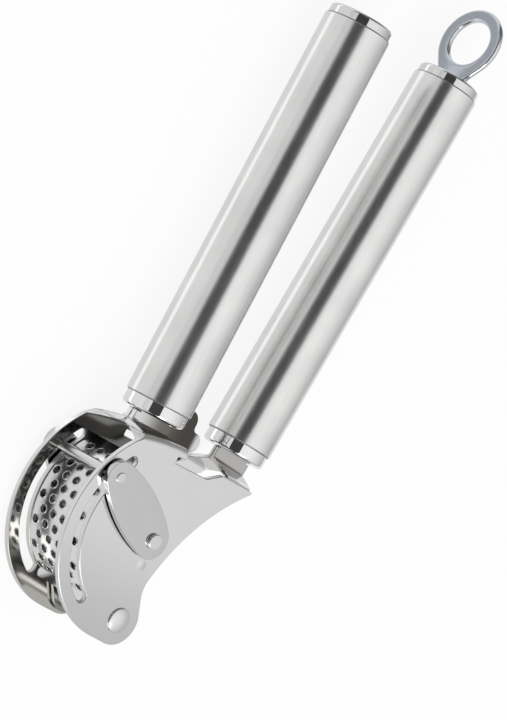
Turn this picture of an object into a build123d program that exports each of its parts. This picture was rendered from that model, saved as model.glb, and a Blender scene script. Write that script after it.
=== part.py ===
from build123d import *
import os
from math import acos, asin, atan2, cos, degrees, hypot, radians, sin

# A garlic press lying on its side. The model is drawn about the main pivot: X runs up the left handle,
# Y towards the sieve, Z along the pivots. At the end it is moved to stand on Z = 0.
# Sizes are in millimetres and angles in degrees, counted from +X towards +Y.

# Handles
tube_diameter = 22.0
tube_length = 130.0
tube_wall = 0.8
collar_step = 0.6
ferrule_collar = 4.6
ferrule_shank = 14.0
cap_collar = 3.6
cap_shank = 8.0
plug_clearance = 0.05
collar_rounding = 1.2
tang_pin_diameter = 3.0
tang_pin_setback = 6.0
handle_a_offset = 15.2
handle_b_offset = 20.6
neck_a_length = 9.1
neck_b_length = 11.5

# Hanging ring
ring_hole_diameter = 15.2
ring_band = 4.4
ring_rise = 12.7
ring_thickness = 2.6
ring_foot = 5.8
ring_rounding = 1.0
ring_hole_rounding = 0.5

# Sheets of the head
sheet = 2.0
cheek_span = 27.2
side_clearance = 0.5
tang_gap = 0.1
bend_radius = 1.5
tang_width = 17.4
tang_insert_width = 14.0
tang_insert = 10.0
neck_gap = 0.3

# Cheek outline, from the main pivot
boss_radius = 8.2
boss_end_angle = 288.0
cheek_rim = 4.4
shoulder_drop = 4.4
bend_length = 4.0
bend_middle_drop = 0.7
bend_end_drop = 3.1
neck_rise = 0.4
tongue_rounding = 6.0
waist_x = 11.5
waist_y = -3.1
waist_rounding = 9.0
rear_middle_x = 36.0
rear_middle_y = -12.1
guard_corner_y = -27.6
guard_rise = 2.3
guard_rounding = 0.6
peak_y = -11.4
peak_rise = 2.8
notch_y = -7.0
notch_width = 3.0
notch_rounding = 1.6
ledge_drop = 0.4
relief_width = 2.1
relief_length = 3.6
relief_rounding = 0.5
tab_reach = 24.85
tab_radius = 3.2
tab_rounding = 1.6
tab_root = 2.6
finger_reach = 19.7
finger_rounding = 3.6
finger_end = 2.8

# Sieve, from the scraper pivot
scraper_bearing = 11.3
boss_proud = 0.8
sieve_radius = 26.0
sieve_sheet = 1.2
sieve_top_angle = 38.0
sieve_end_angle = 155.0
sieve_lip = 2.7
sieve_clearance = 0.05
hole_diameter = 2.6
hole_margin = 1.95
row_angle = 9.08
first_row_angle = 50.4
row_count = 12
full_row = 5

# Scraper
rod_diameter = 3.0
rod_gap = 0.7
slot_clearance = 0.3
scraper_angle = 63.0
scraper_up = 14.0
scraper_down = 88.0
link_sheet = 1.8
link_gap = 0.7
link_pivot_end = 6.1
link_rod_end = 5.2
link_side_radius = 58.0
link_rounding = 0.25
rod_tenon = 2.4
rod_head_diameter = 3.5
rod_head_height = 0.4
detent_radius = 2.2
detent_height = 0.35
detent_reach = 8.7
detent_angle = 198.0

# Rivets
running_clearance = 0.05
press_clearance = 0.01
pivot_diameter = 6.0
pivot_head_diameter = 8.2
pivot_head_rim = 0.5
pivot_head_dome = 1.0
link_pivot_diameter = 3.4
link_head_diameter = 5.0
link_head_height = 1.1
head_rounding = 0.3
washer_gap = 0.05
pivot_washer_diameter = 13.0
link_washer_diameter = 7.0

# Right lever, drawn closed, with its handle along X
rest_opening = 3.4
press_gap = 0.5
pusher_sheet = 2.0
pusher_top_angle = 45.0
pusher_end_angle = 150.0
rib_angles = (75.0, 120.0)
rib_depth = 9.0
sleeve_diameter = 11.0
strap_sheet = 1.2
strap_boss_radius = 7.0
strap_shoulder_drop = 2.4
strap_bend_length = 1.85
strap_neck_rise = 3.15
strap_waist_x = 12.0
strap_waist_y = -1.6
strap_rear_x = 36.0
strap_rear_y = -8.9
strap_corner = 2.9
strap_bend_right = 4.7
strap_tang_right = 8.35
strap_tang_left = 7.7
strap_bay_drop = 5.0
strap_bay_y = -6.0

# Values that follow from the sizes above
cheek_outer = cheek_span / 2
cheek_inner = cheek_outer - sheet
cheek_middle = cheek_outer - sheet / 2
strap_outer = cheek_inner - side_clearance
strap_inside = strap_outer - strap_sheet
strap_middle = strap_outer - strap_sheet / 2
collar_diameter = tube_diameter - 2 * collar_step
bore_diameter = tube_diameter - 2 * tube_wall
shank_diameter = bore_diameter - 2 * plug_clearance
slot_radius = sieve_radius + rod_gap + rod_diameter / 2
slot_width = rod_diameter + 2 * slot_clearance
cheek_radius = slot_radius + slot_width / 2 + cheek_rim
scraper_reach = cheek_radius - boss_radius + boss_proud
scraper_x = scraper_reach * cos(radians(scraper_bearing))
scraper_y = scraper_reach * sin(radians(scraper_bearing))
scraper_pivot = (scraper_x, scraper_y)
pusher_radius = sieve_radius - sieve_sheet - press_gap
pusher_back = pusher_radius - pusher_sheet
link_inner = cheek_outer + link_gap
link_outer = link_inner + link_sheet
tang_side = tang_width / 2
crown_end_angle = degrees(asin((handle_a_offset + tang_side - scraper_y) / cheek_radius))
crown_end_x = scraper_x + cheek_radius * cos(radians(crown_end_angle))
tube_a_start = crown_end_x + neck_a_length
tube_b_start = crown_end_x + neck_b_length
shoulder_x = crown_end_x - shoulder_drop
bend_x = shoulder_x + bend_length
neck_x = bend_x + neck_rise
strap_shoulder_x = crown_end_x - strap_shoulder_drop
strap_bend_x = strap_shoulder_x + strap_bend_length
strap_neck_x = strap_bend_x + strap_neck_rise
ring_radius = ring_hole_diameter / 2 + ring_band


def polar(radius, angle, center=(0, 0)):
    """Returns the point at a radius and angle from a center."""
    return (center[0] + radius * cos(radians(angle)), center[1] + radius * sin(radians(angle)))


def slab(face, low, high):
    """Returns a flat face extruded along Z from one height to another."""
    return Pos(0, 0, low) * extrude(face, high - low)


def pillar(diameter, low, high, at=(0, 0)):
    """Returns a cylinder along Z between two heights."""
    return Pos(at[0], at[1], (low + high) / 2) * Cylinder(diameter / 2, high - low)


def bar(diameter, start, end):
    """Returns a cylinder on the X axis between two places."""
    return Pos((start + end) / 2, 0, 0) * Rot(0, 90, 0) * Cylinder(diameter / 2, end - start)


def washer(outer, inner, low, high, at=(0, 0)):
    """Returns a ring about Z between two heights."""
    return pillar(outer, low, high, at) - pillar(inner, low, high, at)


def across(solid):
    """Returns a solid's mirror image on the far side of the press."""
    return mirror(solid, about=Plane.XY)


def ring_sector(inner, outer, start, end, center):
    """Returns a face between two radii and two angles about a center."""
    low = CenterArc(center, inner, start, end - start)
    high = CenterArc(center, outer, start, end - start)
    return make_face([low, high, Line(low @ 0, high @ 0), Line(low @ 1, high @ 1)])


def neck_sheet(outline, thickness, flat_z, start, bends, neck, end):
    """Returns a sheet that steps in from a side plate to the tang at the middle, cut to an outline.

    The bends are the places of the fold at even steps from the outline's right side to its left.
    """
    box = outline.bounding_box()
    tang_z = (thickness + tang_gap) / 2
    sections = []
    for step, bend in enumerate(bends):
        path = FilletPolyline(
            (start, flat_z), (bend, flat_z), (neck, tang_z), (end, tang_z), radius=bend_radius
        )
        y = box.min.Y + box.size.Y * step / (len(bends) - 1)
        sections.append(Pos(0, y, 0) * (Plane.XZ * trace(path, thickness)))
    return loft(sections) & slab(outline, -cheek_span, cheek_span)


def tang_edge(axis_y, right, left, right_x, left_x, tube_start):
    """Returns the edge of a tang from its right side, round the insert in the ferrule, to its left side."""
    insert = tang_insert_width / 2
    shoulder = tube_start - ferrule_collar - neck_gap
    end = tube_start + tang_insert
    return Polyline(
        (right_x, axis_y - right),
        (shoulder, axis_y - right),
        (shoulder, axis_y - insert),
        (end, axis_y - insert),
        (end, axis_y + insert),
        (shoulder, axis_y + insert),
        (shoulder, axis_y + left),
        (left_x, axis_y + left),
    )


def tang_pin_hole(tube_start, axis_y):
    """Returns the hole through a tang for its cross pin."""
    diameter = tang_pin_diameter + 2 * press_clearance
    return pillar(diameter, -tube_diameter, tube_diameter, (tube_start + tang_pin_setback, axis_y))


# Left lever: the cheeks


def crown_angle(x):
    """Returns the angle at which the cheek's round crown reaches a place along the handle."""
    return degrees(acos((x - scraper_x) / cheek_radius))


def cheek_outline():
    """Returns the flat outline of a cheek."""
    tangent = scraper_bearing + degrees(acos((boss_radius - cheek_radius) / scraper_reach))
    top = crown_angle(shoulder_x)
    crown = CenterArc(scraper_pivot, cheek_radius, top, tangent - top)
    boss = CenterArc((0, 0), boss_radius, tangent, boss_end_angle - tangent)
    waist = (waist_x, waist_y)
    corner = (shoulder_x + guard_rise, guard_corner_y)
    rear = ThreePointArc(waist, (rear_middle_x, rear_middle_y), corner)
    tongue = handle_a_offset - tang_side
    ledge = shoulder_x - ledge_drop
    notch = (ledge, notch_y + notch_width / 2)
    upper = Polyline(
        corner,
        (shoulder_x + peak_rise, peak_y),
        notch,
        (ledge, tongue),
        (shoulder_x, tongue),
        crown @ 0,
    )
    face = make_face([crown, Line(crown @ 1, boss @ 0), boss, Line(boss @ 1, waist), rear, upper])
    for point, radius in ((corner, guard_rounding), (notch, notch_rounding), (waist, waist_rounding)):
        face = fillet(face.vertices().sort_by_distance(point)[:1], radius)
    return face


def arc_slot():
    """Returns the slot that the scraper's rod runs in."""
    start = scraper_angle - scraper_up
    end = scraper_angle + scraper_down
    inner = slot_radius - slot_width / 2
    outer = slot_radius + slot_width / 2
    slot = ring_sector(inner, outer, start, end, scraper_pivot)
    for angle in (start, end):
        slot += Pos(*polar(slot_radius, angle, scraper_pivot)) * Circle(slot_width / 2)
    return slot


def bend_relief():
    """Returns the cut that frees the end of the bend, open on its right side."""
    tongue = handle_a_offset - tang_side
    middle = shoulder_x - ledge_drop + relief_width / 2
    cut = Pos(middle, tongue + relief_length / 2 - relief_width) * Rectangle(
        relief_width, relief_length + 2 * relief_width
    )
    return fillet(cut.vertices().group_by(Axis.Y)[-1], relief_rounding)


def stop_tab():
    """Returns the outline of the tab on the far tang that stands between the two necks."""
    side = handle_a_offset - tube_diameter / 2 - neck_gap
    tang = handle_a_offset - tang_side
    collar_end = tube_a_start - ferrule_collar - neck_gap
    tip = (collar_end - tab_root / 2, handle_a_offset - tab_reach + tab_radius)
    finger = (tube_a_start + finger_end, handle_a_offset - finger_reach)
    crook = (tip[0] + tab_radius, finger[1])
    low = tip[0] - tab_radius
    blade = Polyline(
        (low, tip[1]),
        (crook[0], tip[1]),
        crook,
        finger,
        (finger[0], side),
        (collar_end, side),
        (collar_end, tang + sheet),
        (collar_end - tab_root, tang + sheet),
        (collar_end - tab_root, tang - neck_gap),
        (low, tang - neck_gap),
        close=True,
    )
    tab = make_face(blade) + Pos(*tip) * Circle(tab_radius)
    for corner, radius in ((finger, finger_rounding), (crook, tab_rounding)):
        tab = fillet(tab.vertices().sort_by_distance(corner)[:1], radius)
    return tab


def tongue_outline():
    """Returns the outline of a cheek's bent tongue and tang, where the crown runs on to the tang's side."""
    start = shoulder_x - sheet / 2
    crown = CenterArc(scraper_pivot, cheek_radius, crown_end_angle, crown_angle(start) - crown_end_angle)
    edge = tang_edge(handle_a_offset, tang_side, tang_side, start, crown_end_x, tube_a_start)
    face = make_face([edge, crown, Line(crown @ 1, edge @ 0)])
    return fillet(face.vertices().sort_by_distance(crown @ 0)[:1], tongue_rounding)


def cheek(far):
    """Returns a cheek with its slot, bend, tang and pivot holes, on the near side."""
    bends = (bend_x, bend_x - bend_middle_drop, bend_x - bend_end_drop)
    plate = slab(cheek_outline(), cheek_inner, cheek_outer)
    plate += neck_sheet(
        tongue_outline(), sheet, cheek_middle, shoulder_x - sheet / 2, bends, neck_x,
        tube_a_start + tang_insert,
    )
    if far:
        plate += slab(stop_tab(), tang_gap / 2, tang_gap / 2 + sheet)
    plate -= slab(arc_slot() + bend_relief(), 0, cheek_span)
    plate -= pillar(pivot_diameter + 2 * press_clearance, 0, cheek_span)
    plate -= pillar(link_pivot_diameter + 2 * press_clearance, 0, cheek_span, scraper_pivot)
    plate -= tang_pin_hole(tube_a_start, handle_a_offset)
    ball = (detent_radius**2 + detent_height**2) / (2 * detent_height)
    spot = polar(detent_reach, detent_angle, scraper_pivot)
    dimple = Pos(*spot, cheek_outer + detent_height - ball) * Sphere(ball)
    dimple &= pillar(2 * ball, cheek_middle, cheek_span, spot)
    return plate + dimple


def make_sieve():
    """Returns the curved perforated plate between the cheeks, with a plain straight lip at its lower end."""
    half = cheek_inner - sieve_clearance
    pitch = 2 * (half - hole_margin) / (full_row - 1)
    curve = ring_sector(
        sieve_radius - sieve_sheet, sieve_radius, sieve_top_angle, sieve_end_angle, scraper_pivot
    )
    outer = polar(sieve_radius, sieve_end_angle, scraper_pivot)
    inner = polar(sieve_radius - sieve_sheet, sieve_end_angle, scraper_pivot)
    tip = outer[0] - sieve_lip
    under = outer[1] - sieve_sheet
    lip = make_face(Polyline(outer, (tip, outer[1]), (tip, under), (inner[0], under), inner, close=True))
    drills = []
    for row in range(row_count):
        angle = first_row_angle + row * row_angle
        holes = full_row - 1 + row % 2
        for hole in range(holes):
            z = (hole - (holes - 1) / 2) * pitch
            drill = bar(hole_diameter, sieve_radius - 2 * sieve_sheet, sieve_radius + sieve_sheet)
            drills.append(Pos(*scraper_pivot, z) * Rot(0, 0, angle) * drill)
    return slab(curve + lip, -half, half) - drills


# Rivets, sleeve and washers


def make_main_pivot_rivet():
    """Returns the main rivet, with a domed head on each side."""
    rivet = pillar(pivot_diameter, -cheek_outer, cheek_outer)
    rim = pillar(pivot_head_diameter, cheek_outer, cheek_outer + pivot_head_rim)
    ball = ((pivot_head_diameter / 2) ** 2 + pivot_head_dome**2) / (2 * pivot_head_dome)
    crest = cheek_outer + pivot_head_rim + pivot_head_dome
    dome = Pos(0, 0, crest - ball) * Sphere(ball)
    dome &= pillar(2 * ball, cheek_outer + pivot_head_rim, crest)
    head = rim + dome
    return rivet + head + across(head)


def make_scraper_pivot_rivets():
    """Returns the two flat-headed rivets that the links turn on."""
    seat = link_outer + 2 * washer_gap
    shaft = pillar(link_pivot_diameter, cheek_inner, seat, scraper_pivot)
    head = pillar(link_head_diameter, seat, seat + link_head_height, scraper_pivot)
    top_edge = head.edges().filter_by(GeomType.CIRCLE).sort_by(Axis.Z)[-1:]
    rivet = shaft + fillet(top_edge, head_rounding)
    return [rivet, across(rivet)]


def make_pivot_washers():
    """Returns the washers between the straps and the cheeks."""
    hole = pivot_diameter + 2 * running_clearance
    ring = washer(pivot_washer_diameter, hole, strap_outer + washer_gap, cheek_inner - washer_gap)
    return [ring, across(ring)]


def make_link_washers():
    """Returns the washers between the cheeks and the links."""
    hole = link_pivot_diameter + 2 * running_clearance
    low = cheek_outer + washer_gap
    ring = washer(link_washer_diameter, hole, low, link_inner - washer_gap, scraper_pivot)
    return [ring, across(ring)]


# Handles, on the X axis


def handle_tube(start):
    """Returns a handle's tube."""
    end = start + tube_length
    return bar(tube_diameter, start, end) - bar(bore_diameter, start, end)


def ferrule(start, tang_sheet):
    """Returns the plug at a tube's lower end, slotted for the tang's two sheets and drilled for its pin."""
    collar = bar(collar_diameter, start - ferrule_collar, start)
    lower_edge = collar.edges().filter_by(GeomType.CIRCLE).sort_by(Axis.X)[:1]
    plug = fillet(lower_edge, collar_rounding) + bar(shank_diameter, start, start + ferrule_shank)
    length = ferrule_collar + tang_insert + plug_clearance
    width = tang_insert_width + 2 * plug_clearance
    height = 2 * (tang_sheet + plug_clearance) + tang_gap
    slot = Pos(start - ferrule_collar + length / 2, 0, 0) * Box(length, width, height)
    return plug - slot - tang_pin_hole(start, 0)


def end_cap(start):
    """Returns the plug at a tube's upper end."""
    end = start + tube_length
    collar = bar(collar_diameter, end, end + cap_collar)
    upper_edge = collar.edges().filter_by(GeomType.CIRCLE).sort_by(Axis.X)[-1:]
    return fillet(upper_edge, collar_rounding) + bar(shank_diameter, end - cap_shank, end)


def tang_pin(start):
    """Returns the pin through a ferrule and its tang, hidden by the tube."""
    half = shank_diameter / 2 - tang_pin_diameter / 4
    return pillar(tang_pin_diameter, -half, half, (start + tang_pin_setback, 0))


def hanging_ring(start):
    """Returns the flat ring that stands on edge on an end cap, on legs that run smoothly into the round."""
    foot = start + tube_length + cap_collar
    tangent = 180 - degrees(atan2(ring_foot, ring_rise) + acos(ring_radius / hypot(ring_foot, ring_rise)))
    round_top = CenterArc((0, 0), ring_radius, -tangent, 2 * tangent)
    base = Polyline(round_top @ 1, (-ring_rise, ring_foot), (-ring_rise, -ring_foot), round_top @ 0)
    ring = slab(make_face([round_top, base]), -ring_thickness / 2, ring_thickness / 2)
    edges = [edge for face in ring.faces().filter_by(Axis.Z) for edge in face.edges()]
    ring = fillet([edge for edge in edges if edge.center().X > -ring_rise + ring_rounding], ring_rounding)
    ring -= pillar(ring_hole_diameter, -ring_thickness, ring_thickness)
    edges = ring.edges().filter_by(GeomType.CIRCLE)
    rims = [edge for edge in edges if abs(edge.radius - ring_hole_diameter / 2) < ring_hole_rounding / 2]
    ring = fillet(rims, ring_hole_rounding)
    return Pos(foot + ring_rise, 0, 0) * Rot(90, 0, 0) * ring


# Right lever, closed: straps, pusher and sleeve


def strap_outline():
    """Returns the flat outline of a strap."""
    arc = CenterArc(scraper_pivot, pusher_back, pusher_top_angle, pusher_end_angle - pusher_top_angle)
    end = arc @ 1
    reach = hypot(end.X, end.Y)
    tangent = degrees(atan2(end.Y, end.X) + acos(strap_boss_radius / reach))
    boss = CenterArc((0, 0), strap_boss_radius, tangent, boss_end_angle - tangent)
    waist = (strap_waist_x, strap_waist_y)
    corner = (strap_shoulder_x, -handle_b_offset - strap_corner)
    rear = ThreePointArc(waist, (strap_rear_x, strap_rear_y), corner)
    upper = Polyline(
        corner,
        (strap_shoulder_x, -handle_b_offset + strap_tang_left),
        (strap_shoulder_x - strap_bay_drop, strap_bay_y),
        arc @ 0,
    )
    return make_face([arc, Line(arc @ 1, boss @ 0), boss, Line(boss @ 1, waist), rear, upper])


def strap():
    """Returns a strap with its bend and tang, on the near side."""
    start = strap_shoulder_x - strap_sheet / 2
    corner_y = -handle_b_offset - strap_corner
    bend = (strap_bend_x + strap_sheet / 2, -handle_b_offset - strap_bend_right)
    tang_x = strap_neck_x + bend_radius / 2
    edge = tang_edge(-handle_b_offset, strap_tang_right, strap_tang_left, tang_x, start, tube_b_start)
    root = Polyline(edge @ 1, (start, corner_y), (strap_shoulder_x, corner_y), bend, edge @ 0)
    plate = slab(strap_outline(), strap_inside, strap_outer)
    plate += neck_sheet(
        make_face([edge, root]), strap_sheet, strap_middle, start, (strap_bend_x, strap_bend_x),
        strap_neck_x, tube_b_start + tang_insert,
    )
    plate -= pillar(pivot_diameter + 2 * running_clearance, 0, cheek_span)
    return plate - tang_pin_hole(tube_b_start, -handle_b_offset)


def make_pusher():
    """Returns the curved plate that presses on the sieve."""
    curve = ring_sector(pusher_back, pusher_radius, pusher_top_angle, pusher_end_angle, scraper_pivot)
    return slab(curve, -strap_outer, strap_outer)


def make_pusher_ribs():
    """Returns the cross plates behind the pusher."""
    ribs = []
    for angle in rib_angles:
        rib = Pos(pusher_back - rib_depth / 2 - sieve_clearance, 0, 0) * Box(
            rib_depth, pusher_sheet, 2 * (strap_inside - sieve_clearance)
        )
        ribs.append(Pos(*scraper_pivot, 0) * Rot(0, 0, angle) * rib)
    return ribs


def make_pivot_sleeve():
    """Returns the spacer on the main rivet between the straps."""
    hole = pivot_diameter + 2 * running_clearance
    half = strap_inside - sieve_clearance
    return washer(sleeve_diameter, hole, -half, half)


# Scraper


def link_outline():
    """Returns an oval along X from the pivot to the rod, with bowed sides that run smoothly into its ends."""
    low_reach = link_side_radius - link_pivot_end
    high_reach = link_side_radius - link_rod_end
    along = (low_reach**2 - high_reach**2 + slot_radius**2) / (2 * slot_radius)
    aside = (low_reach**2 - along**2) ** 0.5
    low = (-along * link_pivot_end / low_reach, aside * link_pivot_end / low_reach)
    high_x = slot_radius + (slot_radius - along) * link_rod_end / high_reach
    high = (high_x, aside * link_rod_end / high_reach)
    side = ThreePointArc(low, (along, link_side_radius - aside), high)
    toe = ThreePointArc(high, (slot_radius + link_rod_end, 0), (high[0], -high[1]))
    heel = ThreePointArc((low[0], -low[1]), (-link_pivot_end, 0), low)
    return make_face([side, toe, mirror(side, about=Plane.XZ), heel])


def link():
    """Returns an oval link, on the near side, pointing at the rod."""
    blade = slab(link_outline(), link_inner, link_outer)
    blade = fillet(blade.faces().sort_by(Axis.Z)[-1].edges(), link_rounding)
    blade -= pillar(link_pivot_diameter + 2 * running_clearance, 0, cheek_span)
    blade -= pillar(rod_tenon + 2 * press_clearance, 0, cheek_span, (slot_radius, 0))
    return Pos(*scraper_pivot, 0) * Rot(0, 0, scraper_angle) * blade


def make_scraper_rod():
    """Returns the rod between the links, with riveted ends."""
    at = polar(slot_radius, scraper_angle, scraper_pivot)
    body = pillar(rod_diameter, -link_inner, link_inner, at)
    head = pillar(rod_head_diameter, link_outer, link_outer + rod_head_height, at)
    top_edge = head.edges().filter_by(GeomType.CIRCLE).sort_by(Axis.Z)[-1:]
    end = pillar(rod_tenon, link_inner, link_outer, at) + fillet(top_edge, head_rounding)
    return body + end + across(end)


def lever_a(solid):
    """Returns a handle piece moved onto the left lever."""
    return Pos(0, handle_a_offset, 0) * solid


def lever_b(solid):
    """Returns a handle piece moved onto the right lever, closed."""
    return Pos(0, -handle_b_offset, 0) * solid


def opened(solid):
    """Returns a piece of the right lever turned to its rest position."""
    return Rot(0, 0, -rest_opening) * solid


near_strap = strap()
near_link = link()
pieces = {
    "near_cheek": [cheek(far=False)],
    "far_cheek": [across(cheek(far=True))],
    "sieve": [make_sieve()],
    "main_pivot_rivet": [make_main_pivot_rivet()],
    "scraper_pivot_rivets": make_scraper_pivot_rivets(),
    "pivot_washers": make_pivot_washers(),
    "link_washers": make_link_washers(),
    "handle_tube_a": [lever_a(handle_tube(tube_a_start))],
    "ferrule_a": [lever_a(ferrule(tube_a_start, sheet))],
    "tang_pin_a": [lever_a(tang_pin(tube_a_start))],
    "end_cap_a": [lever_a(end_cap(tube_a_start))],
    "near_strap": [opened(near_strap)],
    "far_strap": [opened(across(near_strap))],
    "pusher": [opened(make_pusher())],
    "pusher_ribs": [opened(rib) for rib in make_pusher_ribs()],
    "pivot_sleeve": [opened(make_pivot_sleeve())],
    "handle_tube_b": [opened(lever_b(handle_tube(tube_b_start)))],
    "ferrule_b": [opened(lever_b(ferrule(tube_b_start, strap_sheet)))],
    "tang_pin_b": [opened(lever_b(tang_pin(tube_b_start)))],
    "end_cap_b": [opened(lever_b(end_cap(tube_b_start)))],
    "hanging_ring": [opened(lever_b(hanging_ring(tube_b_start)))],
    "near_link": [near_link],
    "far_link": [across(near_link)],
    "scraper_rod": [make_scraper_rod()],
}

# The origin is below the middle of the whole press, on the surface it lies on.
box = Compound([solid for group in pieces.values() for solid in group]).bounding_box()
place = Pos(-(box.min.X + box.max.X) / 2, -(box.min.Y + box.max.Y) / 2, -box.min.Z)

os.makedirs("parts", exist_ok=True)
for node, group in pieces.items():
    placed = [place * solid for solid in group]
    export_step(placed[0] if len(placed) == 1 else Compound(children=placed), f"parts/{node}.step")

print("size", box.size)
print("main pivot", (place * Pos(0, 0, 0)).position)
print("scraper pivot", (place * Pos(scraper_x, scraper_y, 0)).position)
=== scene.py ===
"""A stainless steel garlic press on a pale floor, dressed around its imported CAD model."""

from math import cos, radians, sin

import bmesh
import bpy
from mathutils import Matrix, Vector


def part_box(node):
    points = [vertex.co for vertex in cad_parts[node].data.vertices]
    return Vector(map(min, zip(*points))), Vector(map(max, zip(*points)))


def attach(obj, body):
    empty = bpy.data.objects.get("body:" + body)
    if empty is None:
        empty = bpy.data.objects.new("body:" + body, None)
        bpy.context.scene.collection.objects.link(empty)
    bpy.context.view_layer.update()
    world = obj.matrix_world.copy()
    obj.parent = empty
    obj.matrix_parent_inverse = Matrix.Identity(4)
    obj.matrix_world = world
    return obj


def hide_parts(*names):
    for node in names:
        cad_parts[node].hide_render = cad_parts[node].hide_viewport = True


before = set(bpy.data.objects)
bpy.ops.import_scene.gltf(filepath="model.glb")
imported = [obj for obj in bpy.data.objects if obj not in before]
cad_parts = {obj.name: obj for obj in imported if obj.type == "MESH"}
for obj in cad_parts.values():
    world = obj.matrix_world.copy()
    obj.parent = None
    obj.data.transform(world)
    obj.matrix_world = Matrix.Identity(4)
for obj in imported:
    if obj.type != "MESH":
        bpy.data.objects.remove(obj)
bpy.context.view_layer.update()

MM = 0.001

# Edge roundings of the pieces, in metres
SHEET_ROUNDING = 0.45 * MM
HEAD_ROUNDING = 0.40 * MM
THIN_ROUNDING = 0.25 * MM
TURNED_ROUNDING = 0.18 * MM
ROUNDING_STEPS = 3
SHARP_ANGLE = radians(28)
FLAT_ANGLE = radians(0.4)
MERGE_DISTANCE = 0.0005 * MM

# Cast ring: the grain of its skin, how often and how far it is smoothed, and the foot that is left as it is
CAST_GRAIN = 0.22 * MM
CAST_ROUNDS = 60
CAST_SHARE = 0.5
CAST_FOOT = 0.8 * MM

# Turn of the right lever at rest, from the left lever
REST_TURN = radians(3.4)

# Sieve holes, about the scraper's pivot, in metres and radians
SIEVE_RADIUS = 26.0 * MM
HOLE_RADIUS = 1.3 * MM
HOLE_PITCH = 4.8 * MM
FIRST_ROW = radians(50.4)
ROW_STEP = radians(9.08)
HOLE_COUNT = 54
SHORT_ROW = 4
LONG_ROW = 5
RIM_OFFSET = 0.17 * MM
RIM_RADIUS = 0.17 * MM
RIM_STEPS = 20
RING_SIDES = 6

# Dark seams where the collars go into the tubes, in metres
TUBE_LENGTH = 130.0 * MM
COLLAR_RADIUS = 10.4 * MM
SEAM_RADIUS = 0.2 * MM
SEAM_STEPS = 72

# Steel tones
CHEEK_TONE = (0.745, 0.745, 0.750)
CHEEK_CLOUD = (0.785, 0.785, 0.787)
# Painted shade: the cheeks are darker towards the main rivet than up the head
LOW_SHADE_TONE = (0.590, 0.590, 0.592)
# Painted shade on the cheeks' inner faces, between the cheeks
INNER_SHADE_TONE = (0.470, 0.455, 0.430)
# Painted shade and dark reflection in the crown
CROWN_SHADE_TONE = (0.210, 0.206, 0.200)
SHEET_TONE = (0.780, 0.780, 0.785)
SHEET_CLOUD = (0.820, 0.820, 0.822)
LINK_TONE = (0.600, 0.600, 0.605)
LINK_CLOUD = (0.640, 0.640, 0.642)
# Painted shade on the necks, standing in for dark reflections; darkest on the tab, which is partly a darker
# steel of its own
NECK_SHADE_TONE = (0.185, 0.172, 0.153)
TAB_SHADE_TONE = (0.075, 0.070, 0.062)
# Painted shade on the straps: deep inside the head, and on the neck
STRAP_INNER_SHADE_TONE = (0.260, 0.258, 0.252)
STRAP_NECK_SHADE_TONE = (0.520, 0.512, 0.500)
TUBE_TONE = (0.600, 0.603, 0.597)
TUBE_STREAK = (0.890, 0.889, 0.880)
POLISHED_TONE = (0.780, 0.780, 0.780)
POLISHED_CLOUD = (0.800, 0.800, 0.798)
CAP_TONE = (0.680, 0.682, 0.688)
CAP_CLOUD = (0.720, 0.722, 0.726)
RING_TONE = (0.300, 0.322, 0.365)
RING_CLOUD = (0.400, 0.425, 0.470)
# Painted highlight on the ring's rounded edges
RING_EDGE_HIGHLIGHT_TONE = (0.660, 0.680, 0.705)
SEAM_TONE = (0.290, 0.290, 0.288)
SEAM_CLOUD = (0.340, 0.340, 0.338)
BRIGHT_TONE = (0.700, 0.700, 0.705)
BRIGHT_CLOUD = (0.760, 0.760, 0.762)
INSIDE_TONE = (0.400, 0.398, 0.392)
INSIDE_CLOUD = (0.460, 0.458, 0.452)

# Grain and clouds of the steel: their sizes, their share of the tone, and the way that the grain runs
FINE_GRAIN = 900.0
POLISHED_GRAIN = 600.0
BRUSHED_GRAIN = 2500.0
GRAIN_DETAIL = 4.0
GRAIN_ROUGHNESS = 0.6
GRAIN_DEPTH = 0.05 * MM
GRAIN_SHARE = 0.4
CLOUD_SCALE = 70.0
CLOUD_DETAIL = 2.0
CLOUD_SHARE = 0.6
EVEN = (1.0, 1.0, 1.0)
ALONG_X = (0.03, 1.0, 1.0)
STILL = (0.0, 0.0, 0.0)
WITH_LEVER = (0.0, 0.0, REST_TURN)

# Painted shade on both levers, in metres from the main rivet: up the head, to its sides and off the middle
LOW_SHADE_DEEPEST = -8.0 * MM
LOW_SHADE_CLEAR = 30.0 * MM
INNER_EDGE = 3.0 * MM
CROWN_START = 42.0 * MM
CROWN_FADE = 4.0 * MM
NECK_EDGE = 11.5 * MM
NECK_FADE = 1.2 * MM
TANG_EDGE = 3.4 * MM
TANG_FADE = 1.0 * MM
TANG_LIGHT_SIDE = 22.7 * MM
TANG_DARK_SIDE = 10.7 * MM
TAB_DARK_SIDE = -5.3 * MM
TAB_LIGHT_SIDE = -7.8 * MM
TAB_DEEP_SIDE = -2.0 * MM
TAB_FADE_SIDE = 12.0 * MM
STRAP_DARK_START = 24.0 * MM
STRAP_DARK_END = 36.0 * MM
STRAP_NECK_EDGE = 9.0 * MM
STRAP_NECK_FADE = 1.0 * MM
WALL_FACING = 0.35

# How far a rounded edge faces off the flat sheet, and how much rougher it is there
EDGE_FACING = 0.90
FLAT_FACING = 0.985
EDGE_ROUGHNESS = 0.28
# Where the ring's painted highlight on its rounded edges starts and ends
RING_EDGE_FACING = 0.86
RING_FACE_FACING = 0.992

# Camera, as in the photograph: its place from the main rivet, and its lens for a 36 mm tall sensor
CAMERA_PLACE = (0.061481, 0.710575, 0.690100)
CAMERA_TURN = (-24.966, -40.451, -52.069)
CAMERA_LENS = 160.29
SENSOR_HEIGHT = 36.0
CAMERA_NEAR = 0.01
CAMERA_FAR = 50.0

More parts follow.
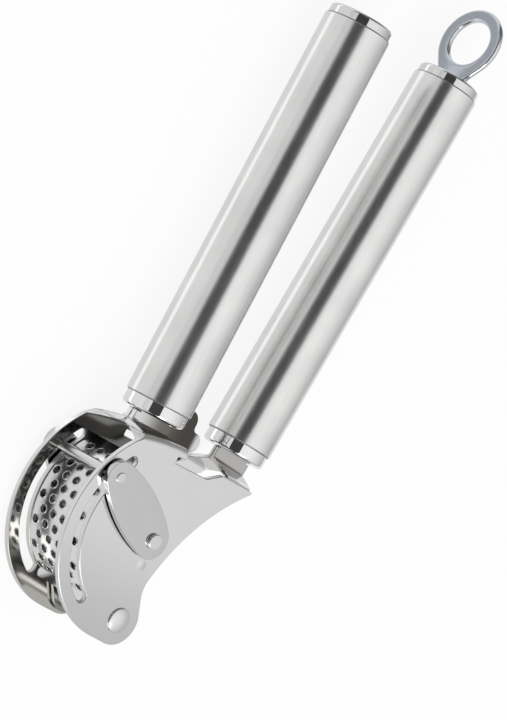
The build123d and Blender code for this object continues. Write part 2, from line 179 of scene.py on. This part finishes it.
# Studio
WHITE = (1.0, 1.0, 1.0, 1.0)
FLOOR_HALF = 6.0
FLOOR_TONE = (0.90, 0.90, 0.90, 1.0)
FLOOR_GLOW = 0.86
MIRROR_DROP = 0.13
ROOM_LOW = 0.50
ROOM_HIGH = 1.05
ROOM_CURVE = 1.4
FRONT_GLOW = 0.24
FRONT_CURVE = 3.0
END_SHADE = 0.75
END_START = 0.45
END_FULL = 0.85
CARD_TILT = radians(47.3)
CARD_DISTANCE = 0.50
CARD_HALF_HEIGHT = 0.182
CARD_HALF_LENGTH = 0.60
CARD_LEVEL = 0.055
STRIP_OFFSET = 20.2 * MM
STRIP_WIDTH = 6.0 * MM
STRIP_HALF_LENGTH = 85.0 * MM
STRIP_HEIGHT = 0.3 * MM
STRIP_LEVEL = 1.35
LAMP_PLACE = (-1.5, 0.5, 1.3)
LAMP_SIZE = 1.6
LAMP_POWER = 20.0


def middle_of(node):
    """Returns the middle of a CAD node's box."""
    low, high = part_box(node)
    return Vector([(low[axis] + high[axis]) / 2 for axis in range(3)])


MAIN_PIVOT = middle_of("main_pivot_rivet")


class Reading:
    """A value in a node tree. Arithmetic on it adds Math nodes."""

    def __init__(self, tree, socket):
        self.tree = tree
        self.socket = socket

    def math(self, operation, *values):
        inputs = dict(enumerate((self, *values)))
        return self.tree.node("ShaderNodeMath", {"operation": operation}, inputs)

    def pick(self, name):
        return Reading(self.tree, self.socket.node.outputs[name])

    def __add__(self, other):
        return self.math("ADD", other)

    __radd__ = __add__

    def __mul__(self, other):
        return self.math("MULTIPLY", other)

    __rmul__ = __mul__

    def __sub__(self, other):
        return self.math("SUBTRACT", other)

    def __rsub__(self, other):
        return self.tree.node("ShaderNodeMath", {"operation": "SUBTRACT"}, {0: other, 1: self})

    def __truediv__(self, other):
        return self.math("DIVIDE", other)

    def __rtruediv__(self, other):
        return self.tree.node("ShaderNodeMath", {"operation": "DIVIDE"}, {0: other, 1: self})


class Tree:
    """A node tree that is built from Python."""

    def __init__(self, nodes):
        self.nodes = nodes
        self.nodes.nodes.clear()

    def node(self, kind, settings=None, inputs=None, output=0):
        """Adds a node, sets it up, fills its sockets with values or links, and returns one output."""
        made = self.nodes.nodes.new(kind)
        for name, value in (settings or {}).items():
            setattr(made, name, value)
        for key, value in (inputs or {}).items():
            if isinstance(value, Reading):
                self.nodes.links.new(value.socket, made.inputs[key])
            else:
                made.inputs[key].default_value = value
        return Reading(self, made.outputs[output]) if made.outputs else None

    def ramp(self, value, low, high):
        """Returns a smooth step from 0 at one value to 1 at another."""
        inputs = {"Value": value, "From Min": low, "From Max": high}
        return self.node("ShaderNodeMapRange", {"interpolation_type": "SMOOTHSTEP"}, inputs)

    def facing(self, place, axis):
        """Returns how far the surface faces along an axis, either way."""
        way = self.node("ShaderNodeSeparateXYZ", None, {0: place.pick("Normal")})
        return way.pick(axis).math("ABSOLUTE")

    def blend(self, share, low, high):
        """Returns a mix of two colours, each a tone or a reading."""
        tones = [tone if isinstance(tone, Reading) else (*tone, 1.0) for tone in (low, high)]
        return self.node("ShaderNodeMix", {"data_type": "RGBA"}, {0: share, 6: tones[0], 7: tones[1]}, 2)


def new_finish(name):
    """Returns an empty material and its tree."""
    material = bpy.data.materials.new(name)
    material.use_nodes = True
    return material, Tree(material.node_tree)


def cheek_tone(tree, place, tone):
    """Returns a cheek's tone with painted shade: darker towards the main rivet and on the inner faces, and
    darkest in the crown and on the neck and its tab, where painted shade stands in for dark reflections; the
    tab is partly a darker steel of its own.
    """
    spot = tree.node("ShaderNodeSeparateXYZ", None, {0: place})
    way = tree.node("ShaderNodeSeparateXYZ", None, {0: place.pick("Normal")})
    up = spot - MAIN_PIVOT.x
    side = spot.pick("Y") - MAIN_PIVOT.y
    off_middle = spot.pick("Z") - MAIN_PIVOT.z
    away = off_middle.math("ABSOLUTE")
    inside = 1 - tree.ramp(off_middle * way.pick("Z"), -INNER_EDGE, -INNER_EDGE / 2)
    crown = inside * tree.ramp(up, CROWN_START - CROWN_FADE, CROWN_START)
    neck = 1 - tree.ramp(away, NECK_EDGE - NECK_FADE, NECK_EDGE)
    slope = tree.ramp(away, TANG_EDGE - TANG_FADE, TANG_EDGE)
    shaded = 1 - tree.ramp(side, TANG_DARK_SIDE, TANG_LIGHT_SIDE)
    tab = tree.ramp(side, TAB_LIGHT_SIDE, TAB_DARK_SIDE)
    face = 1 - tree.ramp(tree.facing(place, "Y"), WALL_FACING, 2 * WALL_FACING)
    # Painted shade: darker towards the main rivet, on the inner faces and in the crown
    tone = tree.blend(tree.ramp(up, LOW_SHADE_DEEPEST, LOW_SHADE_CLEAR), LOW_SHADE_TONE, tone)
    tone = tree.blend(inside, tone, INNER_SHADE_TONE)
    tone = tree.blend(crown, tone, CROWN_SHADE_TONE)
    # Painted shade on the neck, standing in for dark reflections, darkest at the tab
    darkened = tree.blend(tree.ramp(side, TAB_DEEP_SIDE, TAB_FADE_SIDE), TAB_SHADE_TONE, NECK_SHADE_TONE)
    return tree.blend(neck * face * slope.math("MAXIMUM", shaded * tab), tone, darkened)


def strap_tone(tree, place, tone):
    """Returns a strap's tone with painted shade: darker on the neck, and darkest deep inside the head."""
    spot = tree.node("ShaderNodeSeparateXYZ", None, {0: place})
    up = spot - MAIN_PIVOT.x
    away = (spot.pick("Z") - MAIN_PIVOT.z).math("ABSOLUTE")
    neck = 1 - tree.ramp(away, STRAP_NECK_EDGE - STRAP_NECK_FADE, STRAP_NECK_EDGE)
    # Painted shade on the strap's neck and deep inside the head
    tone = tree.blend(neck, tone, STRAP_NECK_SHADE_TONE)
    return tree.blend(tree.ramp(up, STRAP_DARK_START, STRAP_DARK_END), STRAP_INNER_SHADE_TONE, tone)


def ring_tone_with_painted_highlight(tree, place, tone):
    """Returns the ring's tone: its own darker tone on its faces, and a painted highlight on its rounded
    edges.
    """
    face = tree.ramp(tree.facing(place, "Y"), RING_EDGE_FACING, RING_FACE_FACING)
    # Painted highlight on the ring's rounded edges
    return tree.blend(face, RING_EDGE_HIGHLIGHT_TONE, tone)


def steel(
    name, low, high, roughness, unevenness, bump=0.0,
    grain=FINE_GRAIN, stretch=EVEN, turn=STILL, paint=None, soft_edges=False,
):
    """Returns a steel finish with fine grain, stretched along a direction, and soft clouds over it."""
    material, tree = new_finish(name)
    place = tree.node("ShaderNodeTexCoord", output="Object")
    turned_place = tree.node("ShaderNodeMapping", None, {"Vector": place, "Rotation": turn, "Scale": stretch})
    fine = {"Scale": grain, "Detail": GRAIN_DETAIL, "Roughness": GRAIN_ROUGHNESS}
    grain = tree.node("ShaderNodeTexNoise", None, {"Vector": turned_place, **fine})
    broad = {"Scale": CLOUD_SCALE, "Detail": CLOUD_DETAIL}
    clouds = tree.node("ShaderNodeTexNoise", None, {"Vector": place, **broad})
    tone = tree.blend(clouds * CLOUD_SHARE + grain * GRAIN_SHARE, low, high)
    rough = roughness + (grain - 0.5) * unevenness + (clouds - 0.5) * unevenness
    if paint:
        tone = paint(tree, place, tone)
    if soft_edges:
        face = tree.ramp(tree.facing(place, "Z"), EDGE_FACING, FLAT_FACING)
        rough = rough + (1 - face) * EDGE_ROUGHNESS
    height = tree.node("ShaderNodeBump", None, {"Strength": bump, "Distance": GRAIN_DEPTH, "Height": grain})
    sockets = {"Base Color": tone, "Metallic": 1.0, "Roughness": rough, "Normal": height}
    shader = tree.node("ShaderNodeBsdfPrincipled", None, sockets)
    tree.node("ShaderNodeOutputMaterial", None, {"Surface": shader})
    return material


def brushed_tube(name, turn):
    """Returns the finish of a handle's tube, brushed along it."""
    return steel(
        name, TUBE_TONE, TUBE_STREAK, roughness=0.24, unevenness=0.08, bump=0.06,
        grain=BRUSHED_GRAIN, stretch=ALONG_X, turn=turn,
    )


cheek_satin = steel(
    "satin cheek with painted shade", CHEEK_TONE, CHEEK_CLOUD, roughness=0.10, unevenness=0.03, bump=0.02,
    paint=cheek_tone, soft_edges=True,
)
strap_satin = steel(
    "satin strap with painted shade", SHEET_TONE, SHEET_CLOUD, roughness=0.10, unevenness=0.03, bump=0.02,
    paint=strap_tone,
)
link_satin = steel("satin link", LINK_TONE, LINK_CLOUD, roughness=0.12, unevenness=0.03, bump=0.02)
tube_a = brushed_tube("brushed tube a", STILL)
tube_b = brushed_tube("brushed tube b", WITH_LEVER)
polished = steel(
    "polished collar", POLISHED_TONE, POLISHED_CLOUD, roughness=0.06, unevenness=0.02, grain=POLISHED_GRAIN
)
cap_polish = steel("polished cap", CAP_TONE, CAP_CLOUD, roughness=0.06, unevenness=0.02, grain=POLISHED_GRAIN)
ring_polish = steel(
    "polished ring", RING_TONE, RING_CLOUD, roughness=0.16, unevenness=0.03,
    grain=POLISHED_GRAIN, paint=ring_tone_with_painted_highlight,
)
dark_seam = steel("dark seam", SEAM_TONE, SEAM_CLOUD, roughness=0.40, unevenness=0.05, grain=POLISHED_GRAIN)
inside = steel("dull inner steel", INSIDE_TONE, INSIDE_CLOUD, roughness=0.20, unevenness=0.04, bump=0.01)
bright = steel("bright steel", BRIGHT_TONE, BRIGHT_CLOUD, roughness=0.16, unevenness=0.04, bump=0.01)
turned = steel("turned steel", BRIGHT_TONE, BRIGHT_CLOUD, roughness=0.30, unevenness=0.04, bump=0.01)


def make_plain(piece):
    """Turns a piece with modifiers into a plain mesh."""
    view = bpy.context.evaluated_depsgraph_get()
    mesh = bpy.data.meshes.new_from_object(piece.evaluated_get(view))
    piece.modifiers.clear()
    piece.data = mesh


def new_piece(name, mesh):
    """Returns a mesh as an object in the scene."""
    piece = bpy.data.objects.new(name, mesh)
    bpy.context.collection.objects.link(piece)
    return piece


def smooth_copy(node, rounding):
    """Returns a copy of a CAD node as one joined skin, with its hard edges rounded."""
    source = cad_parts[node].data
    skin = bmesh.new()
    points = [skin.verts.new(vertex.co) for vertex in source.vertices]
    for face in source.polygons:
        skin.faces.new([points[index] for index in face.vertices])
    bmesh.ops.remove_doubles(skin, verts=skin.verts, dist=MERGE_DISTANCE)
    bmesh.ops.dissolve_limit(skin, angle_limit=FLAT_ANGLE, verts=skin.verts, edges=skin.edges)
    mesh = bpy.data.meshes.new(node + "_skin")
    skin.to_mesh(mesh)
    skin.free()
    piece = new_piece(node + "_skin", mesh)
    mesh.polygons.foreach_set("use_smooth", [True] * len(mesh.polygons))
    if rounding:
        bevel = piece.modifiers.new("rounding", "BEVEL")
        bevel.width = rounding
        bevel.segments = ROUNDING_STEPS
        bevel.limit_method = "ANGLE"
        bevel.angle_limit = SHARP_ANGLE
        bevel.use_clamp_overlap = False
        weigh = piece.modifiers.new("even shading", "WEIGHTED_NORMAL")
        weigh.keep_sharp = True
    make_plain(piece)
    piece.data.set_sharp_from_angle(angle=SHARP_ANGLE)
    return piece


def cast_copy(node, along):
    """Returns a copy of a CAD node with a full round section, as cast, apart from its foot."""
    piece = smooth_copy(node, 0)
    grain = piece.modifiers.new("grain", "REMESH")
    grain.voxel_size = CAST_GRAIN
    make_plain(piece)
    skin = bmesh.new()
    skin.from_mesh(piece.data)
    foot = min(vertex.co.dot(along) for vertex in skin.verts) + CAST_FOOT
    free = [vertex for vertex in skin.verts if vertex.co.dot(along) > foot]
    for _ in range(CAST_ROUNDS):
        bmesh.ops.smooth_vert(
            skin, verts=free, factor=CAST_SHARE, use_axis_x=True, use_axis_y=True, use_axis_z=True
        )
    skin.to_mesh(piece.data)
    skin.free()
    piece.data.polygons.foreach_set("use_smooth", [True] * len(piece.data.polygons))
    return piece


def dress(node, body, finish, rounding, piece=None):
    """Puts a rounded copy, or another piece, with a finish in a CAD node's place."""
    piece = piece or smooth_copy(node, rounding)
    piece.data.materials.clear()
    piece.data.materials.append(finish)
    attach(piece, body)
    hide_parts(node)


for node in ("near_cheek", "far_cheek"):
    dress(node, "sieve_lever", cheek_satin, SHEET_ROUNDING)
for node in ("near_strap", "far_strap"):
    dress(node, "press_lever", strap_satin, THIN_ROUNDING)
for node in ("near_link", "far_link"):
    dress(node, "scraper", link_satin, 0)
cast_ring = cast_copy("hanging_ring", Vector((cos(REST_TURN), -sin(REST_TURN), 0)))
dress("hanging_ring", "press_lever", ring_polish, 0, cast_ring)
dress("main_pivot_rivet", "sieve_lever", turned, TURNED_ROUNDING)
dress("scraper_pivot_rivets", "sieve_lever", turned, HEAD_ROUNDING)
for node in ("sieve", "pivot_washers", "link_washers", "tang_pin_a"):
    dress(node, "sieve_lever", bright, 0)
for node in ("pusher", "pusher_ribs", "pivot_sleeve", "tang_pin_b"):
    dress(node, "press_lever", inside, THIN_ROUNDING)
dress("scraper_rod", "scraper", turned, 0)
dress("handle_tube_a", "sieve_lever", tube_a, TURNED_ROUNDING)
dress("handle_tube_b", "press_lever", tube_b, TURNED_ROUNDING)
for node, body in (("a", "sieve_lever"), ("b", "press_lever")):
    dress("ferrule_" + node, body, polished, 0)
    dress("end_cap_" + node, body, cap_polish, 0)


# Rolled rims of the sieve's holes, and the seams at the ends of the tubes


def new_maker(name, numbers, vectors):
    """Returns a Geometry Nodes group with named inputs, its tree and its inputs."""
    group = bpy.data.node_groups.new(name, "GeometryNodeTree")
    for kind, labels in (("Float", numbers), ("Vector", vectors), ("Material", ["Finish"])):
        for label in labels:
            group.interface.new_socket(label, in_out="INPUT", socket_type="NodeSocket" + kind)
    group.interface.new_socket("Rings", in_out="OUTPUT", socket_type="NodeSocketGeometry")
    tree = Tree(group)
    return group, tree, tree.node("NodeGroupInput")


def set_rings(tree, given, count, place, turn, steps):
    """Sets a ring of round section, square to the turned X direction, on each of a number of places."""
    spots = tree.node("GeometryNodePoints", None, {"Count": count, "Position": place})
    path = {"Resolution": steps, "Radius": given.pick("Ring radius")}
    ring = tree.node("GeometryNodeCurvePrimitiveCircle", None, path)
    round_section = {"Resolution": RING_SIDES, "Radius": given.pick("Section radius")}
    section = tree.node("GeometryNodeCurvePrimitiveCircle", None, round_section)
    rim = tree.node("GeometryNodeCurveToMesh", None, {"Curve": ring, "Profile Curve": section})
    rim = tree.node("GeometryNodeSetShadeSmooth", None, {"Geometry": rim})
    turns = tree.node("ShaderNodeCombineXYZ", None, {"X": 0.0, "Y": radians(90), "Z": turn})
    set_out = {"Points": spots, "Instance": rim, "Rotation": turns}
    rims = tree.node("GeometryNodeInstanceOnPoints", None, set_out)
    rims = tree.node("GeometryNodeRealizeInstances", None, {"Geometry": rims})
    finish = {"Geometry": rims, "Material": given.pick("Finish")}
    rims = tree.node("GeometryNodeSetMaterial", None, finish)
    tree.node("NodeGroupOutput", None, {"Rings": rims})


def rim_maker():
    """Returns a Geometry Nodes tree that sets a rolled rim on every hole of the sieve."""
    sizes = ["Sieve radius", "Hole pitch", "First row", "Row step", "Ring radius", "Section radius"]
    group, tree, given = new_maker("sieve hole rims", sizes, ["Pivot"])
    index = tree.node("GeometryNodeInputIndex")
    pair = (index / (SHORT_ROW + LONG_ROW)).math("FLOOR")
    within = index - pair * (SHORT_ROW + LONG_ROW)
    in_long = within.math("GREATER_THAN", SHORT_ROW - 0.5)
    column = within - (SHORT_ROW - 1) / 2 - in_long * (SHORT_ROW + (LONG_ROW - SHORT_ROW) / 2)
    angle = given.pick("First row") + (pair * 2 + in_long) * given.pick("Row step")
    spot = tree.node(
        "ShaderNodeCombineXYZ",
        None,
        {
            "X": angle.math("COSINE") * given.pick("Sieve radius"),
            "Y": angle.math("SINE") * given.pick("Sieve radius"),
            "Z": column * given.pick("Hole pitch"),
        },
    )
    place = tree.node("ShaderNodeVectorMath", {"operation": "ADD"}, {0: spot, 1: given.pick("Pivot")})
    set_rings(tree, given, HOLE_COUNT, place, angle, RIM_STEPS)
    return group


def seam_maker():
    """Returns a Geometry Nodes tree that sets a dark seam at both ends of a tube."""
    sizes = ["Turn", "Ring radius", "Section radius"]
    group, tree, given = new_maker("tube end seams", sizes, ["Start", "End"])
    ends = {0: tree.node("GeometryNodeInputIndex"), 4: given.pick("Start"), 5: given.pick("End")}
    place = tree.node("ShaderNodeMix", {"data_type": "VECTOR"}, ends, 1)
    set_rings(tree, given, 2, place, given.pick("Turn"), SEAM_STEPS)
    return group


def make_rings(name, group, values, body):
    """Makes a piece with a Geometry Nodes tree, filling its inputs by name."""
    piece = new_piece(name, bpy.data.meshes.new(name))
    maker = piece.modifiers.new("rings", "NODES")
    maker.node_group = group
    for socket in group.interface.items_tree:
        if socket.in_out == "INPUT":
            maker[socket.identifier] = values[socket.name]
    make_plain(piece)
    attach(piece, body)


def make_rims():
    """Puts the rims on the sieve."""
    values = {
        "Sieve radius": SIEVE_RADIUS,
        "Hole pitch": HOLE_PITCH,
        "First row": FIRST_ROW,
        "Row step": ROW_STEP,
        "Ring radius": HOLE_RADIUS + RIM_OFFSET,
        "Section radius": RIM_RADIUS,
        "Pivot": middle_of("scraper_pivot_rivets"),
        "Finish": bright,
    }
    make_rings("sieve_hole_rims", rim_maker(), values, "sieve_lever")


def make_seams(name, tube, body, turn):
    """Puts the dark seams on the collars at a tube's ends."""
    along = Vector((cos(turn), sin(turn), 0)) * (TUBE_LENGTH / 2 + SEAM_RADIUS)
    values = {
        "Turn": turn,
        "Ring radius": COLLAR_RADIUS + SEAM_RADIUS / 2,
        "Section radius": SEAM_RADIUS,
        "Start": middle_of(tube) - along,
        "End": middle_of(tube) + along,
        "Finish": dark_seam,
    }
    make_rings(name, seam_maker(), values, body)


make_rims()
make_seams("tube_seams_a", "handle_tube_a", "sieve_lever", 0.0)
make_seams("tube_seams_b", "handle_tube_b", "press_lever", -REST_TURN)


# Studio


def plain_sheet(name, corners, material):
    """Returns a four-cornered sheet of the studio."""
    mesh = bpy.data.meshes.new(name)
    mesh.from_pydata(corners, [], [(0, 1, 2, 3)])
    mesh.materials.append(material)
    sheet = new_piece(name, mesh)
    return sheet


def make_floor():
    """Makes the pale floor, which looks whiter, with its shadow, when seen straight or mirrored."""
    material, tree = new_finish("pale floor")
    path = tree.node("ShaderNodeLightPath", output="Is Camera Ray")
    seen = path.math("MAXIMUM", path.pick("Is Glossy Ray"))
    seen = seen.math("MAXIMUM", path.pick("Is Transmission Ray"))
    matt = tree.node("ShaderNodeBsdfDiffuse", None, {"Color": FLOOR_TONE})
    level = 1 - path.pick("Is Glossy Ray") * MIRROR_DROP
    glow = tree.node("ShaderNodeEmission", None, {"Color": WHITE, "Strength": level})
    both = tree.node("ShaderNodeMixShader", None, {0: seen * FLOOR_GLOW, 1: matt, 2: glow})
    tree.node("ShaderNodeOutputMaterial", None, {"Surface": both})
    half = FLOOR_HALF
    corners = [(-half, -half, 0), (half, -half, 0), (half, half, 0), (-half, half, 0)]
    plain_sheet("floor", corners, material)


def only_mirrored(sheet):
    """Leaves a sheet of the studio to be seen in mirrored light alone."""
    sheet.visible_camera = False
    sheet.visible_diffuse = False
    sheet.visible_shadow = False
    sheet.visible_transmission = False


def glowing(name, level):
    """Returns a material that gives out even light."""
    material, tree = new_finish(name)
    glow = tree.node("ShaderNodeEmission", None, {"Color": WHITE, "Strength": level})
    tree.node("ShaderNodeOutputMaterial", None, {"Surface": glow})
    return material


def make_dark_card():
    """Makes the dark card round the camera that the polished handles mirror as a dark band."""
    middle = Vector((0, cos(CARD_TILT), sin(CARD_TILT))) * CARD_DISTANCE
    up = Vector((0, -sin(CARD_TILT), cos(CARD_TILT))) * CARD_HALF_HEIGHT
    along = Vector((CARD_HALF_LENGTH, 0, 0))
    corners = [middle - along - up, middle + along - up, middle + along + up, middle - along + up]
    only_mirrored(plain_sheet("dark_card", corners, glowing("dark card", CARD_LEVEL)))


def make_bright_strips():
    """Makes the narrow bright strip beside each handle that the tube mirrors as a thin line."""
    material = glowing("bright strip", STRIP_LEVEL)
    for tube, turn in (("handle_tube_a", 0.0), ("handle_tube_b", -REST_TURN)):
        along = Vector((cos(turn), sin(turn), 0)) * STRIP_HALF_LENGTH
        side = Vector((-sin(turn), cos(turn), 0))
        middle = middle_of(tube)
        middle.z = STRIP_HEIGHT
        near = middle + side * (STRIP_OFFSET - STRIP_WIDTH / 2)
        far = middle + side * (STRIP_OFFSET + STRIP_WIDTH / 2)
        corners = [near - along, near + along, far + along, far - along]
        only_mirrored(plain_sheet("bright_strip_" + tube, corners, material))


def make_lamp():
    """Makes the large soft lamp at the head's end of the floor."""
    light = bpy.data.lights.new("soft lamp", "AREA")
    light.size = LAMP_SIZE
    light.energy = LAMP_POWER
    lamp = bpy.data.objects.new("soft lamp", light)
    bpy.context.collection.objects.link(lamp)
    lamp.location = LAMP_PLACE
    lamp.rotation_euler = (-Vector(LAMP_PLACE)).to_track_quat("-Z", "Y").to_euler()


def light_room():
    """Fills the room with plain light, brightest overhead, and darkest past the handles' ends."""
    world = bpy.data.worlds.new("room")
    world.use_nodes = True
    bpy.context.scene.world = world
    tree = Tree(world.node_tree)
    look = tree.node("ShaderNodeTexCoord", output="Generated")
    way = tree.node("ShaderNodeSeparateXYZ", None, {0: look})
    rise = way.pick("Z").math("MAXIMUM", 0.0).math("POWER", ROOM_CURVE)
    front = way.pick("Y").math("MAXIMUM", 0.0).math("POWER", FRONT_CURVE)
    end = 1 - tree.ramp(way, END_START, END_FULL) * END_SHADE
    level = (rise * (ROOM_HIGH - ROOM_LOW) + front * FRONT_GLOW + ROOM_LOW) * end
    room = tree.node("ShaderNodeBackground", None, {"Color": WHITE, "Strength": level})
    tree.node("ShaderNodeOutputWorld", None, {"Surface": room})


def place_camera():
    """Puts the camera where the photograph was taken from."""
    lens = bpy.data.cameras.new("camera")
    lens.sensor_fit = "VERTICAL"
    lens.sensor_height = SENSOR_HEIGHT
    lens.lens = CAMERA_LENS
    lens.clip_start = CAMERA_NEAR
    lens.clip_end = CAMERA_FAR
    camera = bpy.data.objects.new("camera", lens)
    bpy.context.collection.objects.link(camera)
    camera.location = MAIN_PIVOT + Vector(CAMERA_PLACE)
    camera.rotation_euler = [radians(turn) for turn in CAMERA_TURN]
    bpy.context.scene.camera = camera


make_floor()
make_dark_card()
make_bright_strips()
make_lamp()
light_room()
place_camera()
bpy.context.scene.view_settings.view_transform = "Standard"
